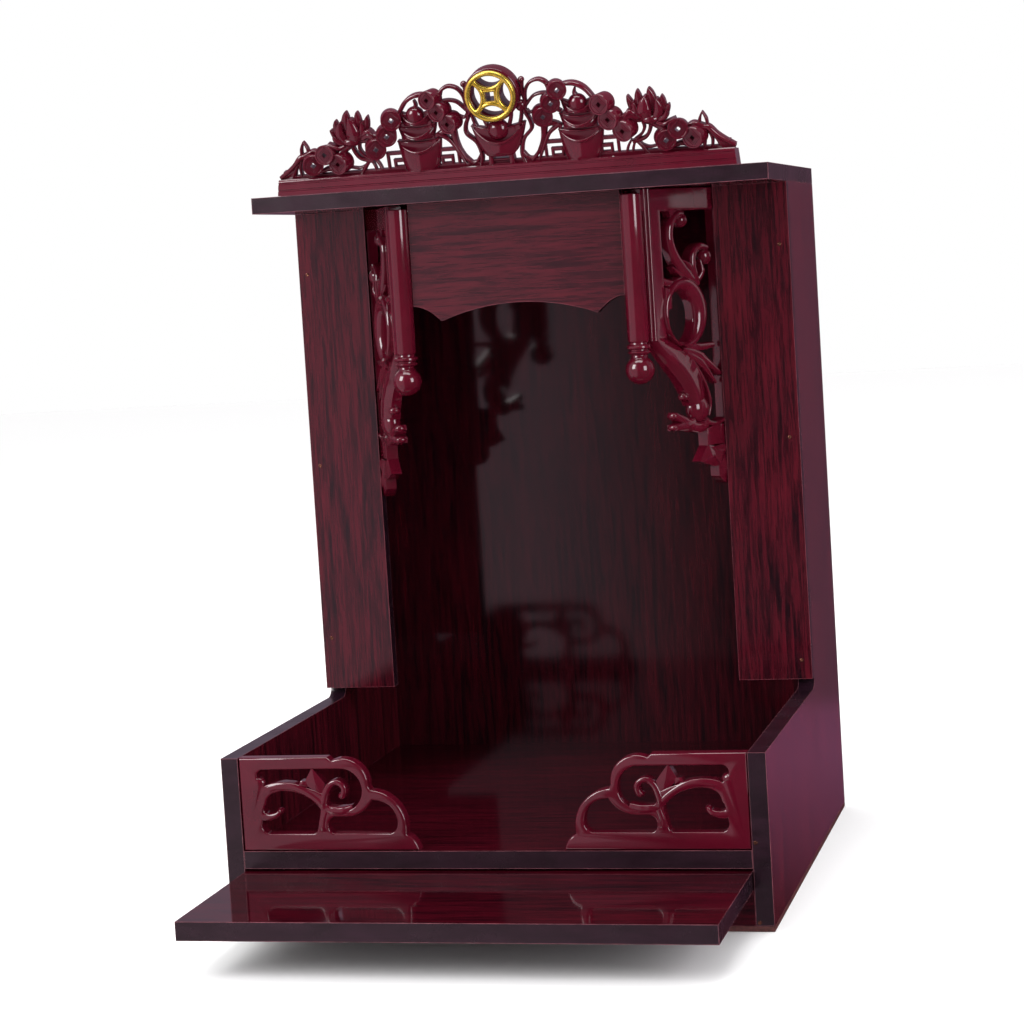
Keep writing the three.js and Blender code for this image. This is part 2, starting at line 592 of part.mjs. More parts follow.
function goldCoinGeometry() {
  const face = slab(piercedCoin(GOLD_RADIUS), 12 + GAP, 16.5 + GAP);
  return geometryOf(solidOf(face.translate(0, MEDALLION_HEIGHT, 0).applyMatrix4(crestPlacement())))
    .translate(CREST_CENTRE_X, 0, 0);
}
addPiece("gold_coin", goldCoinGeometry(), gold);

export default cabinet;
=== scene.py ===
import math

import bpy
import bmesh
from mathutils import Matrix, Vector
from mathutils.geometry import tessellate_polygon


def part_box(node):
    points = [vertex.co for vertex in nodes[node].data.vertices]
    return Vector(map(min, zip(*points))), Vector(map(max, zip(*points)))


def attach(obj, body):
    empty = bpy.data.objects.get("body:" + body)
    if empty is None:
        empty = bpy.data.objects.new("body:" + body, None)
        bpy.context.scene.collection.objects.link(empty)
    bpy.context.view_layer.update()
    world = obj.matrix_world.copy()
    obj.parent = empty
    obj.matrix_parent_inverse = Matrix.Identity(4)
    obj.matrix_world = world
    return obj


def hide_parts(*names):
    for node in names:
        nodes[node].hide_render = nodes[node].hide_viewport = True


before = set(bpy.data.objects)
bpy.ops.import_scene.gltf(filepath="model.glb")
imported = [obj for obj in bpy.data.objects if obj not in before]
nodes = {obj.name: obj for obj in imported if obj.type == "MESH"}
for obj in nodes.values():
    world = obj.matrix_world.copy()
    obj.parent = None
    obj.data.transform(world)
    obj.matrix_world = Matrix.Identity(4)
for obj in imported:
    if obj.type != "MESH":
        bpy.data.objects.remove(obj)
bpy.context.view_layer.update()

MM = 0.001
GAP = 0.3  # mm kept between a moulding and the boards it meets

# The camera: its turns in degrees, its place in metres and its lens
YAW, PITCH, ROLL = (math.radians(a) for a in (14.97, 4.22, -3.58))
CAMERA_PLACE = (0.5783, -2.3351, 0.5666)
FOCAL_LENGTH, SENSOR = 90.8, 36
SHIFT_X, SHIFT_Y = 0.024, -0.055

# The studio: strength of the surrounding light, and the colours of what polished faces mirror
AMBIENT = 1.06
PALE_WALL = (0.66, 0.4752, 0.5544)
DIM_ROOM = (0.06, 0.048, 0.054)
DARK_WALL = (0.115, 0.052, 0.08)
UPPER_WALL = (0.26, 0.21, 0.27)
LILAC_STRIP = (0.23, 0.08, 0.155)
DARK_STRIP = (0.06, 0.015, 0.022)

scene = bpy.context.scene


# ---------- material building ----------
class Shader:
    """A node material under construction: small helpers that add and link nodes."""

    def __init__(self, name):
        self.material = bpy.data.materials.new(name)
        self.material.use_nodes = True
        self.tree = self.material.node_tree
        self.tree.nodes.clear()
        self.out = self.add("ShaderNodeOutputMaterial")
        self.surface = self.add("ShaderNodeBsdfPrincipled")
        self.link(self.surface.outputs[0], self.out.inputs[0])
        self.place = self.add("ShaderNodeTexCoord").outputs["Object"]

    def add(self, kind, **settings):
        node = self.tree.nodes.new(kind)
        for key, value in settings.items():
            setattr(node, key, value)
        return node

    def link(self, source, target):
        self.tree.links.new(source, target)

    def put(self, socket, value):
        if isinstance(value, bpy.types.NodeSocket):
            self.link(value, socket)
        else:
            socket.default_value = value

    def stretched(self, scale, offset=(0, 0, 0)):
        mapping = self.add("ShaderNodeMapping")
        self.link(self.place, mapping.inputs[0])
        mapping.inputs["Scale"].default_value = scale
        mapping.inputs["Location"].default_value = offset
        return mapping.outputs[0]

    def noise(self, where, scale, detail=3.0, rough=0.5, twist=0.0):
        node = self.add("ShaderNodeTexNoise")
        self.link(where, node.inputs["Vector"])
        node.inputs["Scale"].default_value = scale
        node.inputs["Detail"].default_value = detail
        node.inputs["Roughness"].default_value = rough
        node.inputs["Distortion"].default_value = twist
        return node.outputs[0]

    def ramp(self, value, stops):
        node = self.add("ShaderNodeValToRGB")
        self.link(value, node.inputs[0])
        ramp = node.color_ramp
        while len(ramp.elements) < len(stops):
            ramp.elements.new(0.5)
        for element, (place, colour) in zip(ramp.elements, stops):
            element.position = place
            element.color = (*colour, 1) if len(colour) == 3 else colour
        return node.outputs[0]

    def fit(self, value, low, high, to_low, to_high):
        node = self.add("ShaderNodeMapRange")
        self.link(value, node.inputs[0])
        for i, number in enumerate((low, high, to_low, to_high)):
            node.inputs[i + 1].default_value = number
        return node.outputs[0]

    def maths(self, operation, a, b):
        node = self.add("ShaderNodeMath", operation=operation)
        self.put(node.inputs[0], a)
        self.put(node.inputs[1], b)
        return node.outputs[0]

    def mixed(self, how, share, a, b):
        node = self.add("ShaderNodeMix", data_type="RGBA", blend_type=how)
        self.put(node.inputs[0], share)
        self.put(node.inputs[6], a)
        self.put(node.inputs[7], b)
        return node.outputs[2]

    def finish(self, colour, rough, height=None, bump=0.1, depth=0.0002, **constants):
        self.put(self.surface.inputs["Base Color"], colour)
        self.put(self.surface.inputs["Roughness"], rough)
        for key, value in constants.items():
            self.surface.inputs[key.replace("_", " ")].default_value = value
        if height is not None:
            node = self.add("ShaderNodeBump")
            node.inputs["Strength"].default_value = bump
            node.inputs["Distance"].default_value = depth
            self.link(height, node.inputs["Height"])
            self.link(node.outputs[0], self.surface.inputs["Normal"])
        return self.material


def painted_edge_highlight(shader, width, low=0.3, high=0.9):
    """Painted highlight: white where the surface turns over an edge, broken up so that it isn't an even line.
    """
    bevel = shader.add("ShaderNodeBevel", samples=4)
    bevel.inputs["Radius"].default_value = width
    geometry = shader.add("ShaderNodeNewGeometry")
    dot = shader.add("ShaderNodeVectorMath", operation="DOT_PRODUCT")
    shader.link(bevel.outputs[0], dot.inputs[0])
    shader.link(geometry.outputs["Normal"], dot.inputs[1])
    turn = shader.fit(dot.outputs["Value"], 0.995, 0.9, 0.0, 1.0)
    patchy = shader.fit(shader.noise(shader.place, 60, 4, 0.6), low, high, 0.15, 1.0)
    return shader.maths("MULTIPLY", turn, patchy)


def laminate(name, grain, red, black, rough=0.1, seed=0.0):
    """Printed dark wood under a clear gloss: long streaks along one axis, wavy figure and short pores."""
    s = Shader(name)
    along = {"x": (0.07, 1, 1), "y": (1, 0.07, 1), "z": (1, 1, 0.07)}[grain]
    broad = {"x": (0.25, 1, 1), "y": (1, 0.25, 1), "z": (1, 1, 0.25)}[grain]
    lanes = s.noise(s.stretched(along, (seed, seed * 0.7, seed * 0.3)), 260, 7, 0.7, 0.35)
    figure = s.noise(s.stretched(along, (seed + 3, 2, 1)), 85, 5, 0.6, 1.2)
    cloud = s.noise(s.stretched(broad, (seed, 5, 2)), 7, 3, 0.5)
    tone = s.maths("ADD", s.maths("MULTIPLY", lanes, 0.65), s.maths("MULTIPLY", figure, 0.35))
    middle = tuple(0.55 * a + 0.45 * b for a, b in zip(red, black))
    wood = s.ramp(tone, [(0.40, black), (0.50, middle), (0.60, red)])
    shade = s.ramp(cloud, [(0.3, (0.62, 0.6, 0.66)), (0.7, (1.12, 1.05, 1.0))])
    wood = s.mixed("MULTIPLY", 1.0, wood, shade)
    specks = s.noise(s.stretched(along, (1, seed, 4)), 520, 2, 0.5)
    pores = s.ramp(specks, [(0.34, (0, 0, 0)), (0.42, (1, 1, 1))])
    wood = s.mixed("MULTIPLY", 0.35, wood, pores)
    edge_highlight = painted_edge_highlight(s, 0.0009)
    # painted highlight: a lighter red laid along the board's edges
    wood = s.mixed("MIX", s.maths("MULTIPLY", edge_highlight, 0.75), wood, (0.36, 0.1, 0.13, 1))
    smear = s.noise(s.place, 9, 4, 0.6)
    gloss = s.fit(smear, 0.3, 0.75, rough * 0.75, rough * 1.5)
    return s.finish(wood, gloss, lanes, 0.05, 0.00015, Specular_IOR_Level=0.5)


def edge_band(name, colour, rough=0.22):
    """The narrow foil that covers a board's cut edges: plainer and browner than its faces."""
    s = Shader(name)
    streak = s.noise(s.stretched((0.3, 0.3, 1)), 90, 4, 0.6, 0.4)
    dark = tuple(0.55 * c for c in colour)
    wood = s.ramp(streak, [(0.35, dark), (0.65, colour)])
    edge_highlight = painted_edge_highlight(s, 0.0011)
    # painted highlight: a lighter red laid along the banding's edges
    wood = s.mixed("MIX", s.maths("MULTIPLY", edge_highlight, 0.8), wood, (0.42, 0.14, 0.17, 1))
    gloss = s.fit(s.noise(s.place, 25, 4, 0.6), 0.3, 0.7, rough * 0.8, rough * 1.4)
    return s.finish(wood, gloss, streak, 0.04, 0.0002)


def moulded(name, colour):
    """Glossy coloured plastic with faint flow marks, sink, handling haze in the gloss and a painted highlight
    along its edges.
    """
    s = Shader(name)
    cloud = s.noise(s.place, 22, 4, 0.55)
    deep = tuple(0.72 * c for c in colour)
    tint = s.ramp(cloud, [(0.3, deep), (0.7, colour)])
    edge_highlight = painted_edge_highlight(s, 0.0006, 0.45, 0.8)
    # painted highlight: a faint lilac laid along the plastic's edges
    tint = s.mixed("MIX", s.maths("MULTIPLY", edge_highlight, 0.12), tint, (0.5, 0.2, 0.28, 1))
    haze = s.fit(s.noise(s.place, 60, 5, 0.65), 0.35, 0.75, 0.07, 0.17)
    sink = s.noise(s.place, 120, 2, 0.4)
    return s.finish(tint, haze, sink, 0.06, 0.0003, Coat_Weight=0.35, Coat_Roughness=0.06)


def gilt(name, dull=(0.62, 0.42, 0.045), bright=(0.88, 0.66, 0.12)):
    s = Shader(name)
    cloud = s.noise(s.place, 160, 4, 0.6)
    tint = s.ramp(cloud, [(0.3, dull), (0.7, bright)])
    gloss = s.fit(s.noise(s.place, 300, 4, 0.6), 0.3, 0.7, 0.16, 0.3)
    return s.finish(tint, gloss, cloud, 0.08, 0.0003, Metallic=0.9)


def raw_board(name):
    s = Shader(name)
    flecks = s.noise(s.stretched((1, 0.4, 1)), 260, 5, 0.7)
    tint = s.ramp(flecks, [(0.35, (0.035, 0.008, 0.008)), (0.65, (0.12, 0.03, 0.025))])
    gloss = s.fit(flecks, 0.3, 0.7, 0.4, 0.6)
    return s.finish(tint, gloss, flecks, 0.25, 0.0003)


RED = (0.078, 0.005, 0.011)
BLACK = (0.010, 0.0018, 0.0038)
upright = laminate("laminate_upright", "z", RED, BLACK, 0.1)
niche_back = laminate("laminate_niche", "z", (0.04, 0.0026, 0.006), (0.0075, 0.0016, 0.0032), 0.07, 4.0)
level = laminate("laminate_level", "x", (0.044, 0.002, 0.006), (0.010, 0.0012, 0.003), 0.06, 9.0)
lintel_wood = laminate("laminate_lintel", "x", (0.058, 0.0055, 0.0105), (0.015, 0.0025, 0.005), 0.16, 2.0)
banding = edge_band("edge_banding", (0.013, 0.0042, 0.0085))
plastic = moulded("maroon_plastic", (0.066, 0.0024, 0.009))
gold = gilt("gold_plate")
sheet = raw_board("base_board")
metal = gilt("nail_metal", (0.06, 0.02, 0.015), (0.3, 0.13, 0.08))


# ---------- boards: the frame's own solids with eased edges ----------
def dress(name, face, edge=None, thin_axis=None, ease=0.5):
    """Gives a board its face laminate, and banding on the faces that don't look along its thickness."""
    board = nodes[name]
    board.data.materials.clear()
    board.data.materials.append(face)
    if edge:
        board.data.materials.append(edge)
        for polygon in board.data.polygons:
            polygon.material_index = 0 if abs(polygon.normal[thin_axis]) > 0.9 else 1
    bevel = board.modifiers.new("eased_edges", "BEVEL")
    bevel.width = ease * MM
    bevel.segments = 2
    bevel.limit_method = "ANGLE"
    bevel.angle_limit = math.radians(40)
    bevel.harden_normals = True
    for polygon in board.data.polygons:
        polygon.use_smooth = True


for name in ("side_panel_left", "side_panel_right"):
    dress(name, upright, banding, 0)
for name in ("pilaster_left", "pilaster_right"):
    dress(name, upright, banding, 1)
dress("back_sheet", niche_back, banding, 1, 0.3)
dress("floor_board", level, banding, 2)
dress("pull_out_shelf", level, banding, 2)
dress("top_board", level, banding, 2)
dress("lintel_board", lintel_wood, banding, 1)
dress("apron_board", level, banding, 1)
dress("bottom_sheet", sheet, ease=0.3)
dress("shelf_runner_left", sheet)
dress("shelf_runner_right", sheet)


# ---------- mouldings: rounded closed shapes, drawn in millimetres and fused into one mesh ----------
def flow(points, steps):
    """Points spread evenly along a smooth line through the given ones. Each may carry extra numbers."""
    last = len(points) - 1
    line = []
    for i in range(steps + 1):
        place = last * i / steps
        k = min(int(place), last - 1)
        t = place - k
        a, b, c, d = (points[max(k - 1, 0)], points[k], points[k + 1], points[min(k + 2, last)])
        line.append(tuple(
            0.5 * (2 * q + (r - p) * t + (2 * p - 5 * q + 4 * r - w) * t * t
                   + (3 * q - p - 3 * r + w) * t ** 3)
            for p, q, r, w in zip(a, b, c, d)))
    return line


def circle(x, y, rx, ry=None, count=32, turn=0.0):
    ry = rx if ry is None else ry
    angles = [turn + 2 * math.pi * i / count for i in range(count)]
    return [(x + rx * math.cos(a), y + ry * math.sin(a)) for a in angles]


def polygon(x, y, half_diagonal, count=32, corners=4, turn=0.0):
    """A regular polygon with as many points as a circle, so that the two can be joined."""
    points = []
    for i in range(count):
        side, along = divmod(i * corners / count, 1)
        a, b = (turn + 2 * math.pi * (side + k) / corners for k in (0, 1))
        points.append((x + half_diagonal * ((1 - along) * math.cos(a) + along * math.cos(b)),
                       y + half_diagonal * ((1 - along) * math.sin(a) + along * math.sin(b))))
    return points


def inset(outline, distance):
    """The outline moved inwards; it runs anticlockwise."""
    moved = []
    for i, here in enumerate(outline):
        before, after = outline[i - 1], outline[(i + 1) % len(outline)]
        first = Vector((here[0] - before[0], here[1] - before[1])).normalized()
        second = Vector((after[0] - here[0], after[1] - here[1])).normalized()
        normal = Vector((-first.y - second.y, first.x + second.x))
        reach = distance / max(0.45, normal.length / 2)
        normal = normal.normalized() * reach
        moved.append((here[0] + normal.x, here[1] + normal.y))
    return moved


class Moulding:
    """Closed shapes that make up one moulding: x and y across the face, z forwards."""

    def __init__(self):
        self.parts = []

    def loft(self, rings, loop=False):
        """Skins between rings of equally many points; the ends are capped unless it loops."""
        count = len(rings[0])
        verts = [p for ring in rings for p in ring]
        faces = []
        for k in range(len(rings) if loop else len(rings) - 1):
            a, b = k * count, ((k + 1) % len(rings)) * count
            for i in range(count):
                j = (i + 1) % count
                faces.append((a + i, a + j, b + j, b + i))
        if not loop:
            faces.append(tuple(reversed(range(count))))
            faces.append(tuple(range(len(verts) - count, len(verts))))
        self.parts.append((verts, faces))

    def plate(self, outline, back, front, rounding=0.8, steps=3):
        rings = [[(x, y, back) for x, y in outline]]
        for k in range(steps + 1):
            angle = math.pi / 2 * k / steps
            ring = inset(outline, rounding * (1 - math.cos(angle))) if k else outline
            rings.append([(x, y, front - rounding * (1 - math.sin(angle))) for x, y in ring])
        self.loft(rings)

    def ribbon(self, points, widths, back, front, steps=None, crown=None, ridge=None):
        """A band along a smooth line; widths, back and front may each be one number or several.
        Its top is rounded, or falls to both sides from a ridge set off from its middle."""
        steps = steps or 5 * (len(points) - 1)
        line = flow(points, steps)
        spread = [[v] * 2 if isinstance(v, (int, float)) else v for v in (widths, back, front)]
        rings = []
        for i, (x, y) in enumerate(line):
            (x0, y0), (x1, y1) = line[max(i - 1, 0)], line[min(i + 1, steps)]
            side = Vector((y0 - y1, x1 - x0)).normalized()
            width, low, high = (self.along(v, i / steps) for v in spread)
            rise = min(0.5 * width if crown is None else crown, 0.8 * (high - low))
            section = [(-0.5, low), (0.5, low), (0.5, high - rise), (0.46, high - 0.55 * rise),
                       (0.33, high - 0.17 * rise), (0.12, high), (-0.12, high), (-0.33, high - 0.17 * rise),
                       (-0.46, high - 0.55 * rise), (-0.5, high - rise)]
            if ridge is not None:
                section = [(-0.5, low), (0.5, low), (0.5, high - 1.3 * rise),
                           (ridge + 0.09, high - 0.25 * rise), (ridge, high),
                           (ridge - 0.12, high - 0.05 * rise), (-0.42, high - 0.75 * rise),
                           (-0.5, high - 1.1 * rise)]
            rings.append([(x - side.x * u * width, y - side.y * u * width, z) for u, z in section])
        self.loft(rings)

    def pierced(self, loops, back, front, steps=3):
        """A plate with openings: the outline first, then each opening, each with its edge's rounding."""
        verts, bottoms, tops, faces = [], [], [], []
        for k, (loop, rounding) in enumerate(loops):
            turn = sum(p[0] * q[1] - q[0] * p[1] for p, q in zip(loop, loop[1:] + loop[:1]))
            if (turn > 0) == (k > 0):
                loop = loop[::-1]
            start, count = len(verts), len(loop)
            verts += [(x, y, back) for x, y in loop]
            bottoms.append([(start + i, p) for i, p in enumerate(loop)])
            for step in range(steps + 1):
                angle = math.pi / 2 * step / steps
                ring = inset(loop, rounding * (1 - math.cos(angle))) if step else loop
                low = len(verts)
                verts += [(x, y, front - rounding * (1 - math.sin(angle))) for x, y in ring]
                for i in range(count):
                    j = (i + 1) % count
                    faces.append((low - count + i, low - count + j, low + j, low + i))
            tops.append([(len(verts) - count + i, p) for i, p in enumerate(ring)])
        for cap in (bottoms, tops):
            numbers = [i for ring in cap for i, _ in ring]
            for corners in tessellate_polygon([[(x, y, 0) for _, (x, y) in ring] for ring in cap]):
                faces.append(tuple(numbers[c] for c in corners))
        self.parts.append((verts, faces))

    def turned(self, profile, x=0.0, z=0.0, count=40):
        """A body turned about an upright axis; the profile gives radius and height."""
        self.loft([[(u, y, v) for u, v in circle(x, z, radius, count=count)] for radius, y in profile])

    def facet(self, outline, back, edge, apex, top):
        """A low pyramid over a flat outline."""
        peak = [(apex[0] + 0.04 * (x - apex[0]), apex[1] + 0.04 * (y - apex[1])) for x, y in outline]
        levels = ((outline, back), (outline, edge), (peak, top))
        self.loft([[(x, y, z) for x, y in ring] for ring, z in levels])

    @staticmethod
    def along(values, t):
        place = t * (len(values) - 1)
        k = min(int(place), len(values) - 2)
        return values[k] + (values[k + 1] - values[k]) * (place - k)

    def ball(self, x, y, z, rx, ry=None, rz=None, count=24, rows=10):
        ry, rz = ry or rx, rz or rx
        rings = []
        for k in range(1, rows):
            angle = math.pi * k / rows
            ring = circle(x, y, rx * math.sin(angle), ry * math.sin(angle), count)
            rings.append([(u, v, z - rz * math.cos(angle)) for u, v in ring])
        self.loft(rings)

    def place(self, matrix, first=0):
        for verts, _ in self.parts[first:]:
            verts[:] = [tuple(matrix @ Vector(p)) for p in verts]

    def mirror(self):
        """Adds the other half: everything so far with x turned round."""
        for verts, faces in list(self.parts):
            self.parts.append(([(-x, y, z) for x, y, z in verts], [tuple(reversed(f)) for f in faces]))

    def fuse(self, name, matrix, material, replaced, cuts=(), fine=38):
        """Joins the shapes into one solid mesh in its place, less the cut boxes, which are given
        in mm in the cabinet's own directions."""
        whole = solid_object(name, *self.parts[0])
        for verts, faces in self.parts[1:]:
            combine(whole, solid_object(name + "_part", verts, faces), "UNION")
        whole.data.transform(matrix)
        for low, high in cuts:
            xs, ys, zs = zip(low, high)
            corners = [(x, y, z) for x in xs for y in ys for z in zs]
            sides = [(0, 1, 3, 2), (4, 6, 7, 5), (0, 4, 5, 1), (2, 3, 7, 6), (0, 2, 6, 4), (1, 5, 7, 3)]
            combine(whole, solid_object(name + "_cut", corners, sides), "DIFFERENCE")
        whole.data.transform(Matrix.Scale(MM, 4))
        whole.data.materials.clear()
        whole.data.materials.append(material)
        whole.data.shade_smooth()
        whole.data.set_sharp_from_angle(angle=math.radians(fine))
        whole.data.name = name
        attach(whole, "cabinet")
        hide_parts(replaced)
        return whole


def solid_object(name, verts, faces):
    mesh = bpy.data.meshes.new(name)
    mesh.from_pydata(verts, [], faces)
    fix = bmesh.new()
    fix.from_mesh(mesh)
    bmesh.ops.triangulate(fix, faces=[f for f in fix.faces if len(f.verts) > 4])
    bmesh.ops.recalc_face_normals(fix, faces=fix.faces)
    fix.to_mesh(mesh)
    fix.free()
    piece = bpy.data.objects.new(name, mesh)
    scene.collection.objects.link(piece)
    return piece


def combine(whole, piece, operation):
    """Joins a piece to the whole or cuts it away, and removes the piece."""
    change = whole.modifiers.new("combine", "BOOLEAN")
    change.operation = operation
    change.solver = "MANIFOLD"
    change.object = piece
    result = bpy.data.meshes.new_from_object(whole.evaluated_get(bpy.context.evaluated_depsgraph_get()))
    whole.modifiers.clear()
    whole.data = result
    bpy.data.objects.remove(piece)


def twin(piece, name, replaced):
    """The same moulding for the other side of the cabinet."""
    mesh = piece.data.copy()
    mesh.name = name
    mesh.transform(Matrix.Scale(-1, 4, (1, 0, 0)))
    mesh.flip_normals()
    other = bpy.data.objects.new(name, mesh)
    scene.collection.objects.link(other)
    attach(other, "cabinet")
    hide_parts(replaced)


# ---------- crest ----------
# Drawn with x from its middle, y up the lean from the rail's top and z forwards. The right half is
# drawn and mirrored.
LEAN = math.radians(18)
rail_low, rail_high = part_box("crest")
CREST_X = (rail_low.x + rail_high.x) / 2 / MM
lean_place = Matrix.Translation((CREST_X, -40.7, 656.9)) @ Matrix.Rotation(math.pi / 2 + LEAN, 4, "X")
BACK, FACE = -5.0, 0.0


def small_coin(m, x, y, radius, turn, nod, front=10.5):
    """A coin with a raised rim and nested square frames about a square hole, turned to one side."""
    first = len(m.parts)
    rings = [circle(0, 0, radius, count=32)] * 2 + [circle(0, 0, r, count=32) for r in (
        radius - 0.35, radius - 1.3, radius - 1.8)]
    heights = [-4, front - 0.5, front, front, front - 1.0]
    frames = ((0.80, 0), (0.76, 1), (0.70, 1), (0.66, 0), (0.57, 0), (0.53, 1), (0.47, 1), (0.43, 0))
    for size, high in frames:
        rings.append(polygon(0, 0, size * radius, 32))
        heights.append(front - (0.15 if high else 1.0))
    for size, height in ((0.36, front - 1.0), (0.33, front - 0.2), (0.29, front - 0.2), (0.27, -4)):
        rings.append(polygon(0, 0, size * radius, 32))
        heights.append(height)
    m.loft([[(u, v, z) for u, v in ring] for ring, z in zip(rings, heights)], loop=True)
    m.place(Matrix.Translation((x, y, 3)) @ Matrix.Rotation(math.radians(turn), 4, "Y")
            @ Matrix.Rotation(math.radians(nod), 4, "X") @ Matrix.Translation((0, 0, -3)), first)


# how far a boat-shaped ingot bulges, from its keel up to its rim
BELLY = ((0, 0.80), (0.12, 0.90), (0.3, 0.97), (0.5, 1.0), (0.7, 0.98), (0.88, 0.93), (1, 0.88))


def boat(m, x, foot, foot_half, tip, tip_half, rim, front, deck, back_rim):
    """A boat-shaped ingot: bulging body, raised rim sweeping up to both tips, and a sunk deck behind it."""
    rings = []
    for i in range(25):
        u = tip_half * math.sin(math.pi * (i / 24 - 0.5))
        out = max(0.0, (abs(u) - foot_half) / (tip_half - foot_half))
        low = foot + (tip - foot - 1.2) * out ** 2
        high = rim + (tip - rim) * (abs(u) / tip_half) ** 2
        swell = (1 - 0.75 * (abs(u) / tip_half) ** 2) * (front - BACK)
        section = [(low, BACK)]
        section += [(low + (high - low) * v, BACK + swell * w) for v, w in BELLY]
        section.append((high, BACK))
        rings.append([(x + u, y, z) for y, z in section])
    m.loft(rings)
    line = [(x + tip_half * k / 6, rim + (tip - rim) * (k / 6) ** 2) for k in range(-6, 7)]
    swells = [BACK + (1 - 0.75 * (k / 6) ** 2) * (front - BACK) + 0.3 for k in range(-6, 7)]
    m.ribbon(line, [1.6, 2.3, 2.6, 2.3, 1.6], BACK, swells, 26, 1.1)
    inner = [(x + (tip_half - 0.6) * k / 6, back_rim + (tip - back_rim) * (k / 6) ** 2)
             for k in range(-6, 7)]
    m.ribbon(inner, 1.8, BACK, [deck - 2, deck + 1, deck + 1.5, deck + 1, deck - 2], 24, 0.9)
    floor_line = line[1:-1] + inner[-2:0:-1]
    m.plate(floor_line, BACK, deck, 0.4, 1)


# the bars of a key fret: from and to across, from and to up
KEY_BARS = ((0, 2.3, -1, 19), (0, 17.5, 15.8, 19), (6.2, 8.4, -1, 12), (15.8, 18, -1, 12),
            (6.2, 18, 8.8, 12), (6.2, 18, -1, 5.4))


